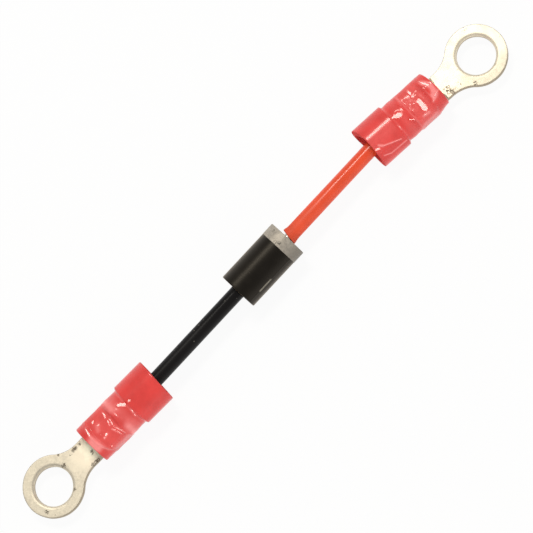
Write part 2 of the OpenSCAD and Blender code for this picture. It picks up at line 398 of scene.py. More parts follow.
class Board:
    """A node tree with one way to add a node and join its sockets."""

    def __init__(self, tree):
        self.tree = tree

    def node(self, kind, sockets=None, out=0, **settings):
        """Adds a node, sets its settings and then its sockets, and returns an output or several."""
        made = self.tree.nodes.new(kind)
        for name, value in settings.items():
            setattr(made, name, value)
        for key, value in (sockets or {}).items():
            if isinstance(value, Wire):
                self.tree.links.new(value.socket, made.inputs[key])
            else:
                made.inputs[key].default_value = value
        if isinstance(out, tuple):
            return tuple(Wire(self, made.outputs[o]) for o in out)
        return Wire(self, made.outputs[out]) if len(made.outputs) else made


def emptied(owner):
    """The node tree of a new material or world, with no nodes in it."""
    owner.use_nodes = True
    owner.node_tree.nodes.clear()
    return owner.node_tree


class Finish(Board):
    """A procedural material round one Principled shader, on Object coordinates."""

    def __init__(self, name):
        self.material = bpy.data.materials.new(name)
        super().__init__(emptied(self.material))
        self.place = self.node("ShaderNodeTexCoord", out="Object")

    def noise(self, size, detail=2.0, roughness=0.5, stretch=None):
        """Noise with features of the given size in millimetres, stretched along the axes if asked."""
        where = self.place
        if stretch is not None:
            where = self.node("ShaderNodeMapping", {"Vector": where, "Scale": stretch})
        sockets = {"Vector": where, "Scale": PER_METRE / size, "Detail": detail, "Roughness": roughness}
        return self.node("ShaderNodeTexNoise", sockets, out="Fac")

    def cells(self, size):
        """Distance to the nearest of scattered points that lie about size millimetres apart."""
        sockets = {"Vector": self.place, "Scale": PER_METRE / size}
        return self.node("ShaderNodeTexVoronoi", sockets, out="Distance")

    def stored(self, name):
        """A number that the mesh stores for each of its points."""
        return self.node("ShaderNodeAttribute", out="Fac", attribute_name=name)

    def from_point(self, x, y, z):
        """Distance from a point of the frame, in millimetres."""
        ends = {0: self.place, 1: (x, y, z)}
        away = self.node("ShaderNodeVectorMath", ends, out="Value", operation="DISTANCE")
        return away * PER_METRE

    def body_place(self):
        """Millimetres along, across and up from the middle of the body."""
        ends = {0: self.place, 1: tuple(BODY_MIDDLE)}
        moved = self.node("ShaderNodeVectorMath", ends, operation="SUBTRACT")
        parts = self.node("ShaderNodeSeparateXYZ", {0: moved}, out=(0, 1, 2))
        return tuple(p * PER_METRE for p in parts)

    def blend(self, factor, first, second):
        """A colour between two others."""
        return self.node("ShaderNodeMix", {0: factor, 6: first, 7: second}, out=2, data_type="RGBA")

    def bump(self, height, depth):
        """A normal from a height whose full range is depth millimetres deep."""
        sockets = {"Strength": 1.0, "Distance": depth * MM, "Height": height}
        return self.node("ShaderNodeBump", sockets)

    def done(self, sockets):
        """Closes the material with its shader and returns it."""
        shader = self.node("ShaderNodeBsdfPrincipled", sockets)
        self.node("ShaderNodeOutputMaterial", {"Surface": shader})
        return self.material


def tint(value, k):
    """A colour times a number, kept opaque."""
    return (*(min(1.0, c * k) for c in value[:3]), 1.0)


# Finishes


# Colours of dust, wear and the pieces inside the body
EPOXY_DUST = (0.14, 0.12, 0.09, 1.0)
EPOXY_SCUFF = (0.27, 0.245, 0.20, 1.0)
EPOXY_SHINE = (1.0, 0.90, 0.76, 1.0)
EPOXY_SHEEN = (1.0, 0.70, 0.36, 1.0)
INK_SPECK = (0.035, 0.030, 0.024, 1.0)
TUBING_DUST = (0.22, 0.20, 0.17, 1.0)
# Dull copper of the cut edges, which also stands as painted shade on their walls
CUT_COPPER_AND_SHADE = (0.32, 0.245, 0.155, 1.0)
TIN_STAIN = (0.12, 0.095, 0.065, 1.0)
SILICON = ((0.16, 0.17, 0.19, 1.0), (0.24, 0.25, 0.27, 1.0))
SOLDER = ((0.38, 0.38, 0.39, 1.0), (0.55, 0.55, 0.56, 1.0))

# Larger specks on the band, in millimetres from the middle of the body
INK_SPECKS = ((3.98, 1.42, 2.27), (3.36, -0.35, 2.66), (3.15, 0.10, 2.68))

# Distances from the middle of the body, in millimetres, between which the rubbing of a sleeve fades
RUBBED = (5.0, 14.0)


def moulded_epoxy(colours, sizes):
    """Semi-matt black moulding with fine grain, dust and a scuffed stretch of moulding line."""
    f = Finish("moulded_epoxy")
    along, across, up = f.body_place()
    fine = f.noise(0.06, 3.0)
    cloud = f.noise(1.1, 3.0)
    base = f.blend(cloud.step(0.35, 0.75), tuple(colours.epoxy), tint(colours.epoxy, 1.5))
    dust = f.cells(0.55).step(0.10, 0.03) * f.noise(1.3, 1.0).step(0.52, 0.62)
    base = f.blend(dust * 0.3, base, EPOXY_DUST)
    slope = math.tan(sizes.parting_angle)
    line = abs(up + across * slope) * math.cos(sizes.parting_angle)
    front = (0.0 - across).step(0.5, 1.0)
    reach = along.step(-2.80, -2.55) * along.step(-0.45, -0.75)
    worn = line.step(0.17, 0.07) * front * reach * f.noise(0.22, 2.0).step(0.2, 0.5)
    base = f.blend(worn * 0.85, base, EPOXY_SCUFF)
    rough = fine * 0.05 + cloud * 0.06 + 0.29 + worn * 0.25
    normal = f.bump(fine * 0.3 + f.noise(0.6, 2.0) * 0.7, 0.003)
    sockets = {"Base Color": base, "Roughness": rough, "Normal": normal}
    sockets.update({"Specular IOR Level": 0.24, "Specular Tint": EPOXY_SHINE})
    sockets.update({"Sheen Weight": 0.40, "Sheen Roughness": 0.36, "Sheen Tint": EPOXY_SHEEN})
    return f.done(sockets)


def printed_ink(colours):
    """Mottled silver-grey ink with dark specks, and painted shade that darkens its front side."""
    f = Finish("printed_ink")
    mottle = f.noise(0.5, 5.0, 0.6)
    fine = f.noise(0.12, 3.0, 0.6)
    base = f.blend(mottle.step(0.3, 0.7), tint(colours.ink, 0.78), tint(colours.ink, 1.22))
    base = f.blend(fine.step(0.35, 0.75) * 0.5, base, tint(colours.ink, 1.35))
    specks = f.cells(0.42).step(0.24, 0.10) * f.noise(0.8, 2.0).step(0.55, 0.64)
    broken = f.noise(0.16, 3.0, 0.6).step(0.42, 0.58)
    for spot in INK_SPECKS:
        near = f.from_point(*(BODY_MIDDLE + Vector(spot) * MM)).step(0.34, 0.08)
        specks = specks.most(near * broken)
    base = f.blend(specks * 0.8, base, INK_SPECK)
    # Painted shade: the ink darkens towards the front side of the band.
    across = f.body_place()[1]
    base = f.blend(across.step(-1.0, -2.5), base, tint(colours.ink, 0.62))
    rough = mottle * 0.2 + 0.42 + specks * 0.2
    normal = f.bump(mottle * 0.6 + fine * 0.4, 0.012)
    return f.done({"Base Color": base, "Roughness": rough, "Metallic": 0.5, "Normal": normal})


def tubing(name, value, pale, gloss, dusty, shine, rubbed):
    """Extruded tubing with drawing lines, cloudy colour and dust, rubbed to another gloss at the diode."""
    f = Finish(name)
    lines = f.noise(0.16, 2.0, 0.5, (0.04, 1.0, 1.0))
    cloud = f.noise(2.2, 3.0)
    base = f.blend(cloud.step(0.3, 0.7), tint(value, 0.92), tint(value, 1.05))
    base = f.blend(lines.step(0.55, 0.8) * 0.12, base, pale)
    dust = f.cells(0.7).step(0.16, 0.05) * f.noise(1.7, 1.0).step(0.44, 0.54)
    base = f.blend(dust * dusty, base, TUBING_DUST)
    along = abs(f.body_place()[0])
    rough = lines * (0.35 * gloss) + 0.85 * gloss + along.step(*RUBBED, rubbed, 0.0)
    normal = f.bump(lines, 0.001 * gloss)
    return f.done({"Base Color": base, "Roughness": rough, "Normal": normal, "Specular IOR Level": shine})


def pressed_vinyl(colours):
    """Glossy soft vinyl that pales where the crimp has stretched it and under painted highlights and painted
    light, and is dull inside with painted shade.
    """
    f = Finish("pressed_vinyl")
    stretched = f.stored("stretch")
    inside = f.stored("inside")
    cloud = f.noise(1.6, 4.0)
    ripple = f.noise(0.9, 0.5)
    base = f.blend(cloud.step(0.3, 0.72), tint(colours.vinyl, 0.93), tint(colours.vinyl, 1.07))
    # The stretch attribute holds stress whitening together with painted highlights and painted light.
    pale = (stretched + (cloud - 0.5) * 0.8 * stretched).step(0.0, 1.0)
    base = f.blend(pale, base, tuple(colours.stretched_vinyl))
    scuff = f.noise(0.5, 4.0, 0.65, (0.25, 1.0, 1.0)).step(0.62, 0.78)
    base = f.blend(scuff * 0.2, base, tuple(colours.stretched_vinyl))
    # Painted shade: the bore and the rim of the mouth are darker.
    base = f.blend(inside * 0.5, base, tint(colours.vinyl, 0.9))
    rough = (cloud * 0.06 + 0.16 + scuff * 0.12).most(inside * 0.9)
    normal = f.bump(ripple, 0.009)
    return f.done({"Base Color": base, "Roughness": rough, "Normal": normal, "Specular IOR Level": 0.42})


def plated_tin(colours, stains, painted_light_patches):
    """Satin tin plate on copper with a fine grain, painted light in bright patches, dull cut edges that are
    partly painted shade, scuffs and stains.
    """
    f = Finish("plated_tin")
    cut = f.stored("cut")
    fine = f.noise(0.09, 4.0, 0.65)
    patch = f.noise(0.8, 4.0, 0.6)
    brushed = f.noise(0.12, 3.0, 0.6, (0.25, 1.0, 1.0))
    mottle = f.noise(0.34, 4.0, 0.6)
    base = f.blend(patch.step(0.3, 0.7), tint(colours.tin, 0.94), tint(colours.tin, 1.06))
    base = f.blend(mottle.step(0.30, 0.68), tint(colours.tin, 0.86), base)
    base = f.blend(fine.step(0.40, 0.80) * 0.5, base, tint(colours.tin, 0.78))
    for x, y, z, reach, shine in painted_light_patches:
        # Painted light: each patch brightens the tin towards its middle.
        bright = (f.from_point(x, y, z) + (patch - 0.5) * reach * 0.7).step(reach, 0.25 * reach)
        base = f.blend(bright, base, tint(colours.tin, shine))
    # Bare copper on the cut edges and in the stud hole, partly painted shade on these walls
    base = f.blend(cut * 0.7, base, CUT_COPPER_AND_SHADE)
    scuffs = f.cells(0.9).step(0.20, 0.06) * f.noise(1.1, 2.0).step(0.58, 0.66) * 0.7
    broken = f.noise(0.20, 3.0, 0.6)
    ragged = f.noise(0.45, 4.0, 0.7) - 0.5
    for x, y, z, reach, solid in stains:
        near = (f.from_point(x, y, z) + ragged * (2.4 * reach)).step(reach, reach * 0.25)
        scuffs = scuffs.most(near * broken.step(0.56 - 0.3 * solid, 0.66 - 0.2 * solid))
    base = f.blend(scuffs * 0.8, base, TIN_STAIN)
    rough = fine * 0.14 + patch * 0.10 + 0.45 + scuffs * 0.15
    normal = f.bump(fine * 0.4 + brushed * 0.3 + patch * 0.3, 0.018)
    return f.done({"Base Color": base, "Roughness": rough, "Metallic": 1.0, "Normal": normal})


def drawn_wire(colours):
    """Bright tinned wire with drawing lines along it."""
    f = Finish("drawn_wire")
    lines = f.noise(0.08, 3.0, 0.6, (0.05, 1.0, 1.0))
    patch = f.noise(0.6, 3.0)
    base = f.blend(patch.step(0.3, 0.7), tint(colours.wire, 0.85), tint(colours.wire, 1.12))
    rough = lines * 0.15 + patch * 0.1 + 0.16
    return f.done({"Base Color": base, "Roughness": rough, "Metallic": 1.0, "Normal": f.bump(lines, 0.01)})


def sawn_silicon():
    """Dark polished chip with sawn edges."""
    f = Finish("sawn_silicon")
    lines = f.noise(0.05, 2.0, 0.5, (1.0, 1.0, 0.05))
    base = f.blend(lines.step(0.3, 0.7), *SILICON)
    return f.done({"Base Color": base, "Roughness": lines * 0.15 + 0.12, "Metallic": 0.8})


def dull_solder():
    """Dull grey solder with a frosted grain."""
    f = Finish("dull_solder")
    frost = f.noise(0.15, 4.0, 0.6)
    base = f.blend(frost.step(0.3, 0.7), *SOLDER)
    rough = frost * 0.25 + 0.3
    return f.done({"Base Color": base, "Roughness": rough, "Metallic": 1.0, "Normal": f.bump(frost, 0.02)})


# Body and band


def corner_arc(x, y, r, start, end, steps=6):
    """Points of an arc of radius r about x and y, between two angles in degrees."""
    turns = np.radians(np.linspace(start, end, steps))
    return [(x + r * math.cos(a), y + r * math.sin(a)) for a in turns]


class DIODE_OT_build_body(bpy.types.Operator):
    """Turns the moulded body with its passages for the leads and its moulding line"""

    bl_idname = "diode.build_body"
    bl_label = "Moulded body"

    def execute(self, context):
        sizes = context.scene.diode_body
        half = BODY_HALF
        r = sizes.edge
        outer = sizes.diameter / 2
        bore = sizes.lead_bore / 2
        room = sizes.chip_room / 2
        chip = sizes.chip_length / 2
        outline = [(-half, bore), (-half, mix(bore, outer, 0.5))]
        outline += corner_arc(-half + r, outer - r, r, 180, 90)
        loops_along = 40
        outline += [(x, outer) for x in np.linspace(-half + r, half - r, loops_along)[1:-1]]
        outline += corner_arc(half - r, outer - r, r, 90, 0)
        outline += [(half, mix(bore, outer, 0.5)), (half, bore)]
        outline += [(chip, bore), (chip, room), (-chip, room), (-chip, bore)]

        def moulding_line(along, turn, radius):
            seam = 0.0
            for place in (math.pi - sizes.parting_angle, -sizes.parting_angle):
                away = np.angle(np.exp(1j * (turn - place)))
                seam = seam + hump(away, 0.0, 0.03)
            outside = smooth((radius - 0.9 * outer) / (0.1 * outer))
            return along, radius + sizes.parting_line * seam * outside

        material = moulded_epoxy(context.scene.diode_colours, sizes)
        piece = revolved("moulded_body", outline, moulding_line, material, crease=35.0)
        settle(piece, "black_epoxy", "diode_body")
        return {"FINISHED"}


class DIODE_OT_build_band(bpy.types.Operator):
    """Prints the cathode band as a thin ring of ink with a ragged edge, wrapped over the end of the body"""

    bl_idname = "diode.build_band"
    bl_label = "Cathode band"

    def execute(self, context):
        sizes = context.scene.diode_body
        low = BAND_LOW.x - BODY_MIDDLE.x
        outer = (BAND_HIGH.y - BAND_LOW.y) / 2
        inner = sizes.diameter / 2
        ink = outer - inner
        turn_in = BODY_HALF - sizes.edge
        slope = 0.8 * ink
        loops_along = 24
        outline = [(low, inner), (low, outer - slope), (low + slope, outer)]
        outline += [(x, outer) for x in np.linspace(low + slope, turn_in, loops_along)[1:-1]]
        outline += corner_arc(turn_in, inner - sizes.edge, sizes.edge + ink, 90, 25)
        outline += corner_arc(turn_in, inner - sizes.edge, sizes.edge, 25, 90)

        def ragged_edge(along, turn, radius):
            circle = np.stack([np.cos(turn), np.sin(turn), np.zeros_like(turn)], axis=-1)
            ragged = sizes.band_ragged * (grain(circle, 0.22, 3) * 0.6 + grain(circle, 0.06, 4) * 0.4)
            reach = 0.3 * MM
            return along + ragged * smooth((low + reach - along) / reach), radius

        material = printed_ink(context.scene.diode_colours)
        piece = revolved("printed_band", outline, ragged_edge, material, crease=50.0)
        settle(piece, "silver_ink", "cathode_band")
        return {"FINISHED"}


class DIODE_OT_finish_inner_parts(bpy.types.Operator):
    """Gives the leads, the chip and its solder their finishes"""

    bl_idname = "diode.finish_inner_parts"
    bl_label = "Leads, chip and solder"

    def execute(self, context):
        wire = drawn_wire(context.scene.diode_colours)
        solder = dull_solder()
        finishes = {
            "cathode_lead": wire,
            "anode_lead": wire,
            "silicon_die": sawn_silicon(),
            "cathode_solder": solder,
            "anode_solder": solder,
        }
        for node, material in finishes.items():
            slots = frame["nodes"][node].data.materials
            slots.clear()
            slots.append(material)
        return {"FINISHED"}


# Sleeves


RIPPLES_PER_METRE = 300.0


def sleeve_tree():
    """Geometry nodes that sweep a tube along a line, flare and slant its first end and ripple its skin."""
    tree = bpy.data.node_groups.new("sleeve_tube", "GeometryNodeTree")
    inputs = (
        ("Geometry", "Geometry"),
        ("Start", "Vector"),
        ("End", "Vector"),
        ("Radius", "Float"),
        ("Stations", "Int"),
        ("Sides", "Int"),
        ("Flare", "Float"),
        ("Flare Length", "Float"),
        ("Slant", "Float"),
        ("Ripple", "Float"),
        ("Seed", "Float"),
        ("Material", "Material"),
    )
    for name, kind in inputs:
        tree.interface.new_socket(name, in_out="INPUT", socket_type="NodeSocket" + kind)
    tree.interface.new_socket("Geometry", in_out="OUTPUT", socket_type="NodeSocketGeometry")
    board = Board(tree)
    names = [name for name, kind in inputs]
    given = dict(zip(names, board.node("NodeGroupInput", out=tuple(range(len(names))))))
    line = board.node("GeometryNodeCurvePrimitiveLine", {"Start": given["Start"], "End": given["End"]})
    stations = {"Curve": line, "Count": given["Stations"]}
    path = board.node("GeometryNodeResampleCurve", stations, mode="COUNT")
    section = {"Resolution": given["Sides"], "Radius": given["Radius"]}
    circle = board.node("GeometryNodeCurvePrimitiveCircle", section, mode="RADIUS")
    tube = board.node("GeometryNodeCurveToMesh", {"Curve": path, "Profile Curve": circle})
    place = board.node("GeometryNodeInputPosition")
    away = board.node("ShaderNodeVectorMath", {0: place, 1: given["Start"]}, operation="SUBTRACT")
    along, across, up = board.node("ShaderNodeSeparateXYZ", {0: away}, out=(0, 1, 2))
    near = (abs(along) / given["Flare Length"]).step(0.0, 1.0, 1.0, 0.0)
    seeded = board.node("ShaderNodeCombineXYZ", dict.fromkeys(range(3), given["Seed"]))
    where = board.node("ShaderNodeVectorMath", {0: place, 1: seeded}, operation="ADD")
    ripples = {"Vector": where, "Scale": RIPPLES_PER_METRE, "Detail": 0.0}
    field = board.node("ShaderNodeTexNoise", ripples)
    swell = (near * near * given["Flare"] + (field - 0.5) * given["Ripple"]) / given["Radius"]
    wide = given["Radius"] + given["Flare"]
    cut = near * (across + wide) * given["Slant"]
    offset = board.node("ShaderNodeCombineXYZ", {0: cut, 1: across * swell, 2: up * swell})
    shaped = board.node("GeometryNodeSetPosition", {"Geometry": tube, "Offset": offset})
    whole = board.node("GeometryNodeRealizeInstances", {"Geometry": shaped})
    painted = board.node("GeometryNodeSetMaterial", {"Geometry": whole, "Material": given["Material"]})
    board.node("NodeGroupOutput", {"Geometry": painted})
    return tree


# Tubing of each sleeve: slot, colour of the paler streaks, roughness, dust, shine and rubbed roughness
TUBING = {
    "cathode": ("red_tubing", (0.88, 0.20, 0.10, 1.0), 0.21, 0.02, 0.42, 0.40),
    "anode": ("black_tubing", (0.016, 0.014, 0.014, 1.0), 0.34, 0.60, 0.18, -0.14),
}
# Diode's end of each sleeve: shares of the flare, of its length and of the slant, and the ripple's seed
SLEEVE_ENDS = {
    "cathode": (1.0, 1.0, 1.0, 0.31),
    "anode": (0.15, 0.4, 0.0, 0.87),
}


class DIODE_OT_build_sleeves(bpy.types.Operator):
    """Sweeps the tubing along both leads and flares and slants the cathode tubing where it meets the body"""

    bl_idname = "diode.build_sleeves"
    bl_label = "Sleeves"

    def execute(self, context):
        sizes = context.scene.diode_sleeves
        colours = context.scene.diode_colours
        tree = sleeve_tree()
        for side, (slot, *look) in TUBING.items():
            low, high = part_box(side + "_sleeve")
            start, end = (low.x, high.x) if side == "cathode" else (high.x, low.x)
            flare, flare_length, slant, seed = SLEEVE_ENDS[side]
            values = {
                "Start": (start, BODY_MIDDLE.y, BODY_MIDDLE.z),
                "End": (end, BODY_MIDDLE.y, BODY_MIDDLE.z),
                "Radius": sizes.diameter / 2,
                "Stations": sizes.stations,
                "Sides": sizes.around,
                "Flare": flare * sizes.flare,
                "Flare Length": flare_length * sizes.flare_length,
                "Slant": slant * math.tan(sizes.cut),
                "Ripple": sizes.ripple,
                "Seed": seed,
                "Material": tubing(slot, tuple(getattr(colours, slot)), *look),
            }
            self.sweep(context, side + "_tubing", tree, values, sizes, slot, side + "_sleeve")
        return {"FINISHED"}

    def sweep(self, context, name, tree, values, sizes, slot, node):
        """Runs the node tree, gives the tube its wall and keeps the result as a plain mesh."""
        maker = new_object(name + "_maker", bpy.data.meshes.new(name + "_maker"))
        modifier = maker.modifiers.new("tube", "NODES")
        modifier.node_group = tree
        for item in tree.interface.items_tree:
            if item.in_out == "INPUT" and item.name in values:
                modifier[item.identifier] = values[item.name]
        wall = maker.modifiers.new("wall", "SOLIDIFY")
        wall.thickness = sizes.wall
        wall.offset = -1.0
        wall.use_even_offset = True
        rim = maker.modifiers.new("rim", "BEVEL")
        rim.width = 0.18 * sizes.wall
        rim.segments = 3
        rim.limit_method = "ANGLE"
        rim.angle_limit = math.radians(50)
        context.view_layer.update()
        depsgraph = context.evaluated_depsgraph_get()
        mesh = bpy.data.meshes.new_from_object(maker.evaluated_get(depsgraph))
        bpy.data.objects.remove(maker)
        if len(mesh.polygons) == 0:
            raise RuntimeError(f"{name}: the tube came out empty")
        mesh.name = name
        settle(smooth_piece(name, mesh, crease=50.0), slot, node)


# Ring terminals


def crimp_press(q, sizes):
    """Share of the crimp at a distance q behind the front of the barrel."""
    start = smooth((q - sizes.crimp_at) / sizes.crimp_ramp)
    return start * smooth((sizes.crimp_at + sizes.crimp_length - q) / sizes.crimp_ramp)


def barrel_half(q, sizes):
    """Half width and half height of the middle of the barrel's wall."""
    high = mix(sizes.barrel_radius, sizes.crimp_radius, crimp_press(q, sizes))
    return np.sqrt(2 * sizes.barrel_radius**2 - high**2), high


def tongue_outline(sizes, inset, across):
    """Outline of ring and fillets round the stud hole, then a line across the neck, and where that starts."""
    far = sizes.ring_diameter / 2 + sizes.fillet
    y = sizes.neck / 2 + sizes.fillet
    reach = math.sqrt(far * far - y * y)
    lean = math.degrees(math.atan2(y, reach))
    fillet_points = 14
    ring_points = 132
    lower = corner_arc(-reach, -y, sizes.fillet + inset, 90, lean, fillet_points)
    tip = corner_arc(0.0, 0.0, sizes.ring_diameter / 2 - inset, lean - 180, 180 - lean, ring_points)
    upper = [(x, -v) for x, v in reversed(lower)]
    half = sizes.neck / 2 - inset
    line = [(-reach, half * (1 - 2 * c / across)) for c in range(1, across)]
    outline = lower + tip[1:-1] + upper
    return np.array(outline + line), len(outline) - 1


def rolled_point(u, q, sizes, inset):
    """Across and up on the middle of the sheet at the share u of its width, q behind the barrel's front."""
    mid = sizes.barrel_radius
    half_neck = sizes.neck / 2
    roll_start = -sizes.corner - sizes.roll
    if q <= roll_start + 1e-9:
        return u * (half_neck - inset), np.full_like(u, -mid)
    neck_turn = half_neck / mid
    if q <= -sizes.corner:
        flat_at_start = 0.65
        grown = float(smooth((q - roll_start) / sizes.roll))
        flat = flat_at_start * (1 - grown)
        lifted = np.sign(u) * np.maximum(0.0, np.abs(u) - flat) / (1 - flat)
        return folded_sheet(u, neck_turn * grown * (1 - inset / half_neck) * lifted, half_neck - inset, -mid)
    seam_turn = math.pi - sizes.seam / 2 / mid
    turn = mix(neck_turn, seam_turn, float(smooth(1 + q / sizes.corner)))
    wide, high = barrel_half(max(q, 0.0), sizes)
    bent = u * turn * (1 - inset / (turn * mid))
    return wide * np.sin(bent), -high * np.cos(bent)


def folded_sheet(u, lean, half, base):
    """Across and up along a sheet of the given half width, from its slope at each share u of that width."""
    middle = len(u) // 2
    parts = []
    for slope in (np.cos(lean), np.sin(lean)):
        steps = (slope[1:] + slope[:-1]) / 2 * np.diff(u) * half
        place = np.concatenate([[0.0], np.cumsum(steps)])
        parts.append(place - place[middle])
    return parts[0], parts[1] + base


def sheet_terminal(sizes, front, ring):
    """Points along, across and up, faces and dull edges of a stamped, rolled terminal."""
    # Middle of the flat tongue, in rings from the stud hole to the outline
    across = 40
    radial = 9
    inset = sizes.edge
    outline, corner = tongue_outline(sizes, inset, across)
    count = len(outline)
    turns = np.arctan2(outline[:, 1], outline[:, 0])
    hole = (sizes.hole_diameter / 2 + sizes.rim) * np.stack([np.cos(turns), np.sin(turns)], axis=-1)
    flat = np.concatenate([mix(hole, outline, k / radial) for k in range(radial + 1)])
    plate = np.column_stack([ring + flat[:, 0], flat[:, 1], np.full(len(flat), -sizes.barrel_radius)])
    neck_row = [radial * count + (corner + c) % count for c in range(across + 1)]

    # Rows across the flat neck, the roll, the sloping corners and the barrel
    places = (-sizes.neck_flat - sizes.roll - sizes.corner, -sizes.corner - sizes.roll, -sizes.corner, 0.0)
    spans = zip(places, (*places[1:], sizes.barrel - inset), (3, 14, 10, 44))
    stations = np.concatenate([np.linspace(start, end, rows)[1:] for start, end, rows in spans])
    u = 1.0 - 2.0 * np.arange(across + 1) / across
    rolled = []
    for q in stations:
        side, up = rolled_point(u, q, sizes, inset)
        rolled.append(np.column_stack([np.full(across + 1, front - q), side, up]))
    rolled = np.array(rolled)
    lattice = np.concatenate([plate[neck_row][None], rolled])
    normal = np.cross(np.gradient(lattice, axis=0), np.gradient(lattice, axis=1))
    normal /= np.linalg.norm(normal, axis=-1, keepdims=True)

    # Quads over the tongue and the rolled part
    middle = np.concatenate([plate, rolled.reshape(-1, 3)])
    normals = np.concatenate([np.tile([0.0, 0.0, 1.0], (len(plate), 1)), normal[1:].reshape(-1, 3)])
    size = len(middle)
    rows = [neck_row]
    for j in range(len(stations)):
        start = len(plate) + j * (across + 1)
        rows.append(list(range(start, start + across + 1)))

    rings = np.arange(len(plate)).reshape(radial + 1, count).tolist()
    quads = [face for pair in zip(rings, rings[1:]) for face in loop_faces(*pair)]
    quads += [face for pair in zip(rows, rows[1:]) for face in strip_faces(*pair)]

    # Upper and lower side of the sheet
    half = sizes.sheet / 2
    points = [middle + normals * half, middle - normals * half]
    worn = [np.zeros(2 * size)]
    faces = list(quads)
    faces += [tuple(i + size for i in reversed(q)) for q in quads]

    # Rounded cut edge round the whole sheet, and the bore of the stud hole
    rim = rings[-1][: corner + 1]
    rim += [row[0] for row in rows[1:]]
    rim += rows[-1][1:]
    rim += [row[-1] for row in rows[-2:0:-1]]
    quarter = np.radians(np.linspace(0, 90, 5))
    upper = [(inset * math.sin(a), half - inset * (1 - math.cos(a))) for a in quarter[1:]]
    cut = upper + [(d, -h) for d, h in reversed(upper)]
    r = sizes.rim
    low = 0.25 * r
    bore = [(r * math.sin(a), half - r * (1 - math.cos(a))) for a in np.radians(np.linspace(0, 90, 8))[1:]]
    bore += [(r - low * (1 - math.cos(a)), -half + low * (1 - math.sin(a))) for a in quarter]
    # Each edge has its loop, profile, sense, depth of plating below the upper side and fade to bare copper,
    # whose colour is partly painted shade
    total = 2 * size
    edges = ((rim, cut, 1.0, 0.0, 0.08 * half), (rings[0], bore, -1.0, 0.7 * r, 0.3 * half))
    for loop, profile, sense, plated, fade in edges:
        edge = middle[loop]
        tangent = np.roll(edge, -1, axis=0) - np.roll(edge, 1, axis=0)
        outward = np.cross(tangent, normals[loop]) * sense
        outward /= np.linalg.norm(outward, axis=-1, keepdims=True)
        bands = [loop]
        for d, h in profile:
            points.append(edge + outward * d + normals[loop] * h)
            worn.append(np.full(len(loop), smooth((half - h - plated) / fade)))
            bands.append(list(range(total, total + len(loop))))
            total += len(loop)
        bands.append([i + size for i in loop])
        for pair in zip(bands, bands[1:]):
            faces += loop_faces(*pair)
    return np.concatenate(points), faces, np.concatenate(worn)


# Stains on the rings: back from the stud hole, across, reach and how solid they are, in millimetres
STAINS = {
    "anode": (
        (-2.8, -1.8, 0.42, 0.5),
        (-2.2, -2.8, 0.40, 0.0),
        (1.73, -2.2, 0.30, 0.9),
        (2.8, 0.9, 0.45, 0.5),
        (3.2, 2.45, 0.22, 1.0),
        (3.8, 2.15, 0.16, 0.9),
        (5.15, 1.45, 0.45, 1.0),
        (4.3, 1.2, 0.35, 0.2),
        (6.1, 1.5, 0.40, 0.5),
        (6.5, -0.4, 0.40, 0.8),
        (5.6, -1.75, 0.50, 0.5),
        (6.4, -1.7, 0.45, 0.7),
    ),
    "cathode": (
        (5.6, -0.9, 0.65, 0.4),
        (5.2, -1.5, 0.60, 0.5),
        (3.9, -1.4, 0.40, 0.1),
        (2.5, -2.6, 0.40, 0.5),
        (2.9, 0.4, 0.35, 0.0),
        (-1.0, 3.4, 0.50, 0.0),
    ),
}
# Painted light on the terminals, bright patches where the sheet is meant to look more lit: back from the stud
# hole, across, reach and brightness
PAINTED_LIGHT_PATCHES = {
    "anode": (
        (5.0, -0.2, 2.6, 1.1),
        (6.9, -0.1, 1.9, 1.3),
    ),
    "cathode": (
        (5.0, 0.3, 3.3, 1.18),
        (2.4, 2.2, 2.5, 1.14),
        (-1.2, 3.0, 3.2, 1.14),
        (-3.3, -0.2, 3.0, 1.10),
    ),
}


def front_droop(points, ring):
    """How far the front side of a ring hangs down, with its stud hole at a distance along."""
    curve = 7.0
    level_part = 1.2 * MM
    neck_end = 3.5 * MM
    fade = 2 * MM
    front_side = np.minimum(0.0, points[:, 1] + level_part)
    on_ring = smooth((points[:, 0] - ring + neck_end) / fade)
    return curve * front_side**2 * on_ring


def spots_on_rings(spots_of_sides, sizes):
    """Spots on the upper side of the sheet, with their places in the frame and their two other numbers."""
    placed = []
    for side, spots in spots_of_sides.items():
        run, reach = terminal_run(side, sizes)
        for back, across, *numbers in spots:
            point = run.place(reach - back * MM, across * MM, sizes.sheet / 2 - sizes.barrel_radius)
            placed.append((*point, *numbers))
    return placed


class DIODE_OT_build_terminals(bpy.types.Operator):
    """Stamps both ring terminals and rolls and crimps their barrels"""

    bl_idname = "diode.build_terminals"
    bl_label = "Ring terminals"

    def execute(self, context):
        sizes = context.scene.diode_terminals
        vinyl = context.scene.diode_insulators
        spots = (spots_on_rings(spots_of_sides, sizes) for spots_of_sides in (STAINS, PAINTED_LIGHT_PATCHES))
        material = plated_tin(context.scene.diode_colours, *spots)
        for seed, side in enumerate(SIDES):
            run, reach = terminal_run(side, sizes)
            bare = getattr(vinyl, side + "_bare")
            points, faces, cut = sheet_terminal(sizes, vinyl.front + bare, reach)
            up = points[:, 2]
            if side == "cathode":
                up = up - front_droop(points, reach)
            placed = run.place(points[:, 0], points[:, 1], up)
            dent_size = 1.3 * MM
            for axis in range(3):
                placed[:, axis] += sizes.dent * grain(points, dent_size, 5 * seed + axis + 1)
            piece = new_piece(side + "_ring_terminal", placed, faces, material, crease=40.0)
            # The cut attribute marks bare copper and painted shade on the walls of the edges
            point_attribute(piece, "cut", cut)
            settle(piece, "tinned_copper", side + "_terminal")
        return {"FINISHED"}


# Insulators


def folds(q, s, lines):
    """Height and paleness of rounded folds, each given by its two ends, its width and its paleness, which
    partly paints a glint along the fold.
    """
    height = np.zeros_like(q)
    pale = np.zeros_like(q)
    for start, end, width, paleness_and_glint in lines:
        bell = hump(segment_distance(q, s, start, end)[0], 0.0, width)
        height = height + 0.25 * width * bell
        pale = np.maximum(pale, paleness_and_glint * bell)
    return height, pale


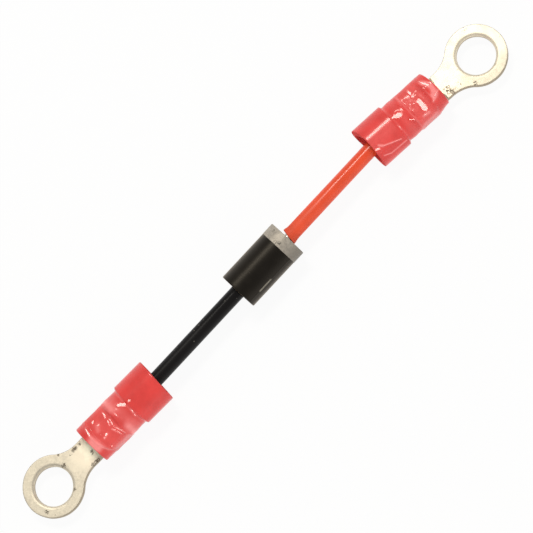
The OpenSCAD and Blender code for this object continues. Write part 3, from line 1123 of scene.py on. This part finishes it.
def pressed_facets(q, s, across, up, facing, facets, lean, tilt):
    """Heights of the skin with flat facets pressed in, each given by its ends and its half widths there."""
    for start, end, *widths in facets:
        away, along = segment_distance(q, s, start, end)
        reach = mix(widths[0], widths[-1], along)
        offset = np.hypot(q - (start[0] + end[0]) / 2, s - (start[1] + end[1]) / 2)
        hidden = facing < 0
        seat = np.unravel_index(np.argmin(np.where(hidden, np.inf, offset)), q.shape)
        plane = up[seat] - math.tan(lean) * (q - q[seat]) - math.tan(tilt) * (across - across[seat])
        up = mix(up, plane, smooth(1.7 * (1.0 - away / reach)) * smooth(facing / 0.2))
    return up


def chain(start, end, reach, count):
    """A row of short facets between two places."""
    marks = np.linspace(start, end, 2 * count)
    return tuple((tuple(marks[2 * k]), tuple(marks[2 * k + 1]), reach) for k in range(count))


# Folds and facets of the vinyl: places along from the ring end and across the upper side, in millimetres
# The last number of a fold is its paleness, partly stress whitening and partly a painted glint.
ANODE_FOLDS = (
    ((2.00, 0.80), (2.30, 1.35), 0.34, 0.28),
    ((3.99, 2.04), (3.78, 1.41), 0.10, 0.45),
    ((3.75, 0.90), (3.58, 0.15), 0.10, 0.45),
    ((4.06, 0.95), (3.85, -0.06), 0.10, 0.40),
    ((3.45, -0.45), (3.85, -1.50), 0.10, 0.45),
    ((3.95, -0.62), (4.30, -1.63), 0.11, 0.45),
    ((1.98, -0.60), (2.60, -0.42), 0.16, 0.50),
    ((5.08, 0.75), (5.12, 0.25), 0.10, 0.35),
    ((6.86, -0.30), (6.72, -1.25), 0.12, 0.45),
)
CATHODE_FOLDS = (
    ((3.12, 2.15), (3.15, 1.30), 0.16, 0.45),
    ((4.09, 0.80), (4.48, 0.05), 0.12, 0.35),
    ((3.78, -1.50), (2.95, -1.56), 0.12, 0.55),
    ((1.70, -0.97), (1.10, -0.65), 0.14, 0.60),
    ((1.10, -0.65), (0.15, -0.30), 0.14, 0.55),
    ((1.55, 0.60), (1.45, -0.40), 0.12, 0.30),
    ((10.60, -0.55), (10.06, -0.95), 0.16, 0.70),
    ((10.06, -0.95), (7.74, -1.78), 0.09, 0.95),
    ((10.90, -1.95), (9.80, -2.25), 0.08, 0.80),
    ((9.80, -2.25), (7.30, -2.32), 0.08, 0.75),
    ((6.97, -0.30), (6.95, -0.90), 0.10, 0.45),
)
ANODE_FACETS = (
    ((1.12, 1.80), (0.90, 1.00), 0.20),
    ((2.20, 2.08), (2.42, 2.12), 0.19),
    ((1.94, -1.72), (2.00, -1.78), 0.22),
    ((1.98, -0.62), (2.36, -0.60), 0.16),
    ((2.36, -0.48), (2.58, -0.34), 0.22),
    ((2.28, -0.02), (2.34, -0.12), 0.11),
    ((1.94, 0.14), (1.99, 0.02), 0.10),
    ((4.00, 2.04), (3.80, 1.36), 0.13),
    ((3.74, 0.95), (3.68, 0.50), 0.12),
    ((3.60, 0.40), (3.50, 0.15), 0.10),
    ((4.07, 0.95), (4.05, 0.50), 0.10),
    ((4.05, 0.45), (3.88, -0.06), 0.12),
    ((3.90, -0.25), (3.87, -0.55), 0.10),
    ((3.45, -0.60), (3.70, -0.85), 0.12),
    ((3.78, -1.00), (3.86, -1.50), 0.11),
    ((3.97, -0.62), (4.30, -1.63), 0.13),
    ((6.12, 1.12), (6.75, 0.72), 0.42),
    ((5.08, 0.70), (5.12, 0.30), 0.12),
    ((6.90, -0.36), (6.86, -0.75), 0.13),
    ((6.78, -0.95), (6.74, -1.25), 0.11),
    ((7.42, 0.60), (7.55, 0.62), 0.26),
)
CATHODE_FACETS = (
    ((3.12, 2.10), (3.10, 1.88), 0.26),
    ((3.22, 1.48), (3.12, 1.42), 0.22),
    ((2.86, 1.42), (2.74, 1.28), 0.14),
    ((3.66, 0.56), (3.60, 0.54), 0.17),
    ((2.88, 0.50), (3.04, -1.05), 0.40, 0.72),
    ((3.70, -1.50), (2.98, -1.54), 0.13),
    ((5.36, -0.62), (4.95, -1.12), 0.22),
    ((6.80, 0.84), (6.02, 0.58), 0.26, 0.72),
    ((6.92, -0.38), (6.90, -0.70), 0.11),
    ((1.65, -0.95), (1.20, -0.70), 0.13),
    ((1.00, -0.62), (0.30, -0.36), 0.15),
    ((1.30, 1.90), (0.70, 1.00), 0.12, 0.34),
    ((11.20, -0.72), (10.90, -0.92), 0.48),
    *chain((9.95, -0.99), (7.85, -1.74), 0.12, 7),
)


def anode_marks(q, s, sizes):
    """Crimp share, skin height and stretch on the upper side of the anode insulator, in millimetres; the
    stretch holds painted highlights and painted light too.
    """
    # The jaw presses between its front and rear edges and pushes up a lip in front of it
    front = 1.02 + 0.10 * (s - 0.3) ** 2
    rear = 4.50 + 0.03 * s
    press = smooth((q - front) / 0.42 + 0.40) * smooth((rear - q) / 0.55 + 0.45)
    middle = smooth((2.45 - abs(s)) / 0.8)
    wide = hump(s, 1.3, 0.55)
    crest = hump(q, front - 0.24, 0.15 + 0.09 * wide) * middle * (0.8 + 0.2 * np.cos(3.1 * s + 0.4))
    height, pale = folds(q, s, ANODE_FOLDS)
    high = sizes.crest / MM * crest * (0.75 + 0.25 * wide) + height + 0.07 * hump(q, 5.30, 0.60)
    # The vinyl pales at the ring end, on the lip, in the press and in front of the collar: partly stress
    # whitening, partly painted highlights, and painted light on the bulge
    strip = hump(q, 0.45, 0.65) * smooth((s + 1.8) / 1.2) * smooth((1.5 - s) / 1.6)
    lip = hump(q, front - 0.13, 0.22) * middle
    stretch = 1.05 * strip + 0.55 * lip + 0.38 * hump(q, 5.7, 1.0) + 0.22 * press + pale
    stretch = stretch + 0.55 * hump(q, 5.05, 0.45) * smooth((abs(s + 0.1) - 0.5) / 1.1)
    return press, high, stretch


def cathode_marks(q, s, sizes):
    """Crimp share, skin height and stretch on the upper side of the cathode insulator, in millimetres; the
    stretch holds painted highlights and painted light too.
    """
    # The jaw presses between its front and rear edges, deeper towards the collar
    front = 1.78 + 0.04 * s**2
    rear = 4.75 + 0.08 * s
    press = smooth((q - front) / 0.75 + 0.45) * smooth((rear - q) / 0.80 + 0.45)
    middle = smooth((2.4 - abs(s)) / 0.8)
    crest = hump(q, front - 0.35, 0.22) * middle
    height, pale = folds(q, s, CATHODE_FOLDS)
    high = 0.35 * sizes.crest / MM * crest + height - 0.08 * (q - 3.1) * press * middle
    high = high - 0.06 * hump(q, 1.1, 0.45) * hump(s, 0.56, 0.5) + 0.09 * hump(q, 6.0, 0.55)
    # A shallow flat lies in front of the long fold on the collar
    fold = -0.95 - 0.358 * (10.06 - q)
    facet = smooth((fold - s) / 0.25) * smooth((s + 2.3) / 0.25) * smooth((q - 7.3) / 0.4)
    high = high - 0.06 * facet
    # The vinyl pales in a curl at the ring end, behind the press and on top of the collar: the curl, the
    # streak at the ring end and the top of the collar are painted highlights, the rest is partly stress
    # whitening and partly painted light
    curl = np.hypot(q - 1.75, s - 0.55)
    stretch = hump(curl, 1.2, 0.42) * smooth((1.8 - q) / 0.6)
    stretch = stretch + 0.35 * hump(q, 0.7, 0.5) * hump(s, -0.6, 0.5)
    stretch = stretch + 0.30 * hump(q, 4.75, 0.16) + 0.22 * hump(q, 5.8, 0.7) + 0.28 * press + pale
    stretch = stretch + 0.25 * smooth((q - 7.0) / 0.4) * hump(s, 0.2, 1.6)
    return press, high, stretch


def under_marks(q, sizes):
    """Crimp share, skin height and stretch on the lower side of an insulator, in millimetres."""
    press = smooth((q - 1.75) / 0.6 + 0.5) * smooth((4.7 - q) / 0.7 + 0.5)
    crest = hump(q, 1.3, 0.25) + 0.7 * hump(q, 5.25, 0.3)
    return press, 0.5 * sizes.crest / MM * crest, 0.5 * crest


def vinyl_skin(q, turn, sizes, cathode):
    """Across, up and stretch of the skin at q from the ring end and an angle from the top, in millimetres;
    the stretch holds painted highlights and painted light too.
    """
    side = np.sin(turn)
    top = np.cos(turn)
    step = smooth((q - (sizes.size - sizes.collar) / MM) / (sizes.step / MM) + 0.5)
    # Marks of the jaws, which lean round the insulator, with s across the crimp and the wider collar
    leaned = turn + sizes.jaw_lean
    s = mix(2.69, 3.0, step) * np.sin(leaned)
    upper = smooth((np.cos(leaned) + 0.25) / 0.5)
    above = cathode_marks(q, s, sizes) if cathode else anode_marks(q, s, sizes)
    below = under_marks(q, sizes)
    press, high, stretch = (mix(b, a, upper) for a, b in zip(above, below))
    # Oval section, boxier where it is pressed
    plain = sizes.radius / MM
    wide = mix(mix(plain, sizes.crimp_wide / MM, press), sizes.collar_wide / MM, step)
    tall = mix(mix(plain, sizes.crimp_high / MM, press), sizes.collar_high / MM, step)
    power = 2.0 + (2.2 - 1.3 * smooth(1.5 * side)) * press
    radius = (np.abs(side / wide) ** power + np.abs(top / tall) ** power) ** (-1.0 / power)
    # Wrinkles, with their own seed on each side
    spot = np.stack([q, radius * side, radius * top], axis=-1)
    seed = 11 if cathode else 23
    crumple = 0.75 * grain(spot, 0.85, seed) + 0.25 * grain(spot, 0.4, seed + 1)
    soft = 0.5 * grain(spot, 2.6, seed + 2)
    radius = radius + high + sizes.wrinkle / MM * (crumple * press + 0.5 * soft)
    # Rounded ends, and a ring end of the cathode that narrows on its front side
    ends = 0.0
    for away, r in ((q, 0.14), (sizes.size / MM - q, 0.12)):
        k = np.clip(1.0 - away / r, 0.0, 1.0)
        ends = ends + r * (1.0 - np.sqrt(1.0 - k * k))
    radius = radius - ends
    if cathode:
        radius = radius - 0.28 * smooth((2.2 - q) / 2.2) * smooth(-side)
    # Pale line at the foot of the collar, partly a painted highlight, and facets
    stretch = stretch + 0.22 * hump(q, (sizes.size - sizes.collar) / MM - 0.15, 0.16) * upper
    facets = CATHODE_FACETS if cathode else ANODE_FACETS
    lean = sizes.cathode_facet if cathode else sizes.anode_facet
    up = pressed_facets(q, s, radius * side, radius * top, np.cos(leaned), facets, lean, sizes.side_facet)
    return radius * side, up, stretch


def vinyl_hole(q, turn, bare, sizes, metal):
    """Across and up of the hole through the vinyl, in metres."""
    behind = np.minimum(q + bare, metal.barrel)
    wide, high = barrel_half(behind, metal)
    grow = metal.sheet / 2 + sizes.fit
    opening = smooth((q + bare - metal.barrel) / (sizes.size - sizes.collar + bare - metal.barrel))
    funnel_reach = 0.6 * MM
    funnel = 0.14 * MM * smooth((q - sizes.size + funnel_reach) / funnel_reach) ** 2
    wide = mix(wide + grow, sizes.bore_wide, opening) + funnel
    high = mix(high + grow, sizes.bore_high, opening) + funnel
    return wide * np.sin(turn), high * np.cos(turn)


class DIODE_OT_build_insulators(bpy.types.Operator):
    """Moulds both vinyl insulators and presses the crimp into them"""

    bl_idname = "diode.build_insulators"
    bl_label = "Insulators"

    def execute(self, context):
        sizes = context.scene.diode_insulators
        metal = context.scene.diode_terminals
        material = pressed_vinyl(context.scene.diode_colours)
        # More points on top than below, and closer loops over a short length at both ends
        around = 200
        end_loops = 10
        skin_loops = 300
        hole_loops = 44
        ring_end = 0.5
        mouth_end = 0.4
        dull_rim = 0.06
        # Painted light that pales the bore
        bore_painted_light = 0.2
        clear_of_floor = 0.002 * MM
        even = np.arange(around) * 2 * np.pi / around
        turn = (even - 0.45 * np.sin(even))[None, :]
        total = sizes.size / MM
        spread = 1 - np.cos(np.linspace(0, np.pi / 2, end_loops))
        middle = np.linspace(ring_end, total - mouth_end, skin_loops)[1:]
        outer = np.concatenate([ring_end * spread, middle, total - mouth_end * spread[::-1][2:]])
        inner = np.linspace(total, 0.0, hole_loops)
        for side in SIDES:
            run = terminal_run(side, metal)[0]
            cathode = side == "cathode"
            bare = getattr(sizes, side + "_bare")
            q = np.repeat(outer[:, None], around, axis=1)
            skin = vinyl_skin(q, np.repeat(turn, len(outer), axis=0), sizes, cathode)
            hole_q = np.repeat(inner[:, None], around, axis=1)
            hole = vinyl_hole(hole_q * MM, np.repeat(turn, len(inner), axis=0), bare, sizes, metal)
            along = np.concatenate([q, hole_q]) * MM
            across = np.concatenate([skin[0] * MM, hole[0]])
            up = np.concatenate([skin[1] * MM, hole[1]])
            along = along + self.ends(along, turn, sizes, cathode)
            up = np.maximum(up, clear_of_floor - BODY_MIDDLE.z)
            points = run.place(sizes.front - along, across, up)
            faces = wrapped_faces(len(outer) + len(inner), around)
            piece = new_piece(side + "_vinyl", points, faces, material, crease=48.0)
            # The inside attribute marks the bore and the mouth's rim, which are dull and get painted shade
            shelter = np.ones_like(hole[0])
            rim = smooth((q - total + dull_rim) / (dull_rim / 2))
            stretch = np.concatenate([np.clip(skin[2], 0.0, 1.0), bore_painted_light * shelter])
            # The stretch attribute carries stress whitening, painted highlights and painted light.
            point_attribute(piece, "stretch", stretch)
            point_attribute(piece, "inside", np.concatenate([rim, shelter]))
            settle(piece, "red_vinyl", side + "_insulator")
        return {"FINISHED"}

    def ends(self, along, turn, sizes, cathode):
        """Shift of both ends along the insulator: a wavy mouth, and a ring end cut out of square."""
        mouth_reach = 2.4 * MM
        ring_reach = 1.7 * MM
        mouth = smooth((along - sizes.size + mouth_reach) / mouth_reach)
        ring = smooth((ring_reach - along) / ring_reach)
        if not cathode:
            wave = 0.03 + 0.09 * np.sin(turn) + 0.16 * np.cos(turn)
            lean = 0.12 * np.cos(turn) - 0.06 * np.sin(turn)
            return (mouth * wave + ring * lean) * MM
        away = np.angle(np.exp(1j * (turn - math.radians(5))))
        dip = -0.45 * hump(away, 0.0, 0.85)
        wave = dip + 0.02 + 0.18 * np.sin(turn) + 0.05 * np.sin(3 * turn + 2.0)
        skew = 0.20 * np.sin(turn) + 0.14 * np.sin(turn) ** 2 + 0.18
        return (mouth * wave + ring * skew) * MM


# Stage


SENSOR_WIDTH = 36.0
FLOOR_REACH = 4.0
FLOOR_TONE = (0.90, 0.90, 0.89, 1.0)
WHITE = (1.0, 1.0, 1.0, 1.0)

# Brightness of the dome at the horizon, and the heights between which it changes to that overhead
HORIZON = 0.95
DOME_HEIGHTS = (0.05, 0.55)

# Lamps: place, width and depth in metres, and colour
KEY_LAMP = ((0.0965, 0.1785, 0.40), 0.157, 0.07, (1.0, 0.965, 0.88))
FILL_LAMP = ((-0.05, -0.50, 0.19), 0.80, 0.30, (1.0, 0.99, 0.97))


def white_floor(stage):
    """Pale floor that shows as white to the camera and in reflections, and keeps the object's shadow."""
    material = bpy.data.materials.new("white_floor")
    board = Board(emptied(material))
    kinds = ("Is Camera Ray", "Is Glossy Ray", "Is Transmission Ray")
    camera, glossy, through = board.node("ShaderNodeLightPath", out=kinds)
    seen = camera.most(glossy).most(through)
    plain = board.node("ShaderNodeBsdfDiffuse", {"Color": FLOOR_TONE})
    glow = board.node("ShaderNodeEmission", {"Color": WHITE, "Strength": 1.0})
    mixed = board.node("ShaderNodeMixShader", {0: seen * stage.floor_glow, 1: plain, 2: glow})
    board.node("ShaderNodeOutputMaterial", {"Surface": mixed})
    return material


def aim_camera(stage):
    """Camera at the photograph's angle, turned so that the body's axis runs up to the right."""
    e = stage.elevation
    a = stage.azimuth
    r = stage.axis_angle
    back = Vector((math.sin(a) * math.cos(e), -math.cos(a) * math.cos(e), math.sin(e)))
    level = Vector((math.cos(a), math.sin(a), 0.0))
    rise = back.cross(level)
    right = level * math.cos(r) - rise * math.sin(r)
    up = level * math.sin(r) + rise * math.cos(r)
    aim = BODY_MIDDLE + right * stage.aim_right + up * stage.aim_up
    data = bpy.data.cameras.new("camera")
    data.sensor_width = SENSOR_WIDTH
    data.lens = SENSOR_WIDTH * stage.distance / stage.view_width
    data.clip_start = 0.01
    data.clip_end = 20.0
    camera = new_object("camera", data)
    turned = Matrix((right, up, back)).transposed().to_4x4()
    camera.matrix_world = Matrix.Translation(aim + back * stage.distance) @ turned
    bpy.context.scene.camera = camera


def soft_lamp(name, power, place, width, depth, tone):
    """A rectangular soft lamp that looks at the middle of the body."""
    data = bpy.data.lights.new(name, "AREA")
    data.shape = "RECTANGLE"
    data.size = width
    data.size_y = depth
    data.energy = power
    data.color = tone
    lamp = new_object(name, data)
    lamp.location = place
    lamp.rotation_mode = "QUATERNION"
    lamp.rotation_quaternion = (BODY_MIDDLE - Vector(place)).to_track_quat("-Z", "Y")
    return lamp


class DIODE_OT_build_stage(bpy.types.Operator):
    """Sets up the floor, the soft lamps, the dome and the camera"""

    bl_idname = "diode.build_stage"
    bl_label = "Stage"

    def execute(self, context):
        stage = context.scene.diode_stage
        scene = context.scene
        scene.view_settings.view_transform = "Standard"
        mesh = bpy.data.meshes.new("floor")
        ways = ((-1, -1), (1, -1), (1, 1), (-1, 1))
        mesh.from_pydata([(x * FLOOR_REACH, y * FLOOR_REACH, 0) for x, y in ways], [], [(0, 1, 2, 3)])
        mesh.materials.append(white_floor(stage))
        floor = new_object("floor", mesh)

        world = bpy.data.worlds.new("dome")
        scene.world = world
        board = Board(emptied(world))
        where = board.node("ShaderNodeTexCoord", out="Generated")
        height = board.node("ShaderNodeSeparateXYZ", {0: where}, out=2)
        level = height.step(*DOME_HEIGHTS, HORIZON, stage.dome)
        shade = board.node("ShaderNodeBackground", {"Color": WHITE, "Strength": level})
        board.node("ShaderNodeOutputWorld", {"Surface": shade})

        soft_lamp("key", stage.key_power, *KEY_LAMP)
        fill = soft_lamp("fill", stage.fill_power, *FILL_LAMP)
        fill.visible_glossy = False
        aim_camera(stage)
        return {"FINISHED"}


# Panel and registration


class DIODE_PT_panel(bpy.types.Panel):
    """Lists the pieces in the order in which they are built"""

    bl_idname = "DIODE_PT_panel"
    bl_label = "Sleeved rectifier diode"
    bl_space_type = "VIEW_3D"
    bl_region_type = "UI"
    bl_category = "Diode"

    def draw(self, context):
        for operator in OPERATORS:
            self.layout.operator(operator.bl_idname, text=operator.bl_label)
        for name, group in GROUPS.items():
            box = self.layout.box()
            box.label(text=group.__doc__)
            for prop in group.__annotations__:
                box.prop(getattr(context.scene, name), prop)


OPERATORS = (
    DIODE_OT_build_body,
    DIODE_OT_build_band,
    DIODE_OT_finish_inner_parts,
    DIODE_OT_build_sleeves,
    DIODE_OT_build_terminals,
    DIODE_OT_build_insulators,
    DIODE_OT_build_stage,
)
GROUPS = {
    "diode_body": DiodeBodySizes,
    "diode_sleeves": SleeveSizes,
    "diode_terminals": TerminalSizes,
    "diode_insulators": InsulatorSizes,
    "diode_colours": FinishColours,
    "diode_stage": StageSizes,
}


def register():
    for name, group in GROUPS.items():
        bpy.utils.register_class(group)
        setattr(bpy.types.Scene, name, PointerProperty(type=group))
    for operator in OPERATORS:
        bpy.utils.register_class(operator)
    bpy.utils.register_class(DIODE_PT_panel)


def unregister():
    bpy.utils.unregister_class(DIODE_PT_panel)
    for operator in reversed(OPERATORS):
        bpy.utils.unregister_class(operator)
    for name, group in reversed(GROUPS.items()):
        delattr(bpy.types.Scene, name)
        bpy.utils.unregister_class(group)


def main():
    register()
    bpy.ops.diode.build_body()
    bpy.ops.diode.build_band()
    bpy.ops.diode.finish_inner_parts()
    bpy.ops.diode.build_sleeves()
    bpy.ops.diode.build_terminals()
    bpy.ops.diode.build_insulators()
    bpy.ops.diode.build_stage()


if __name__ == "__main__":
    main()
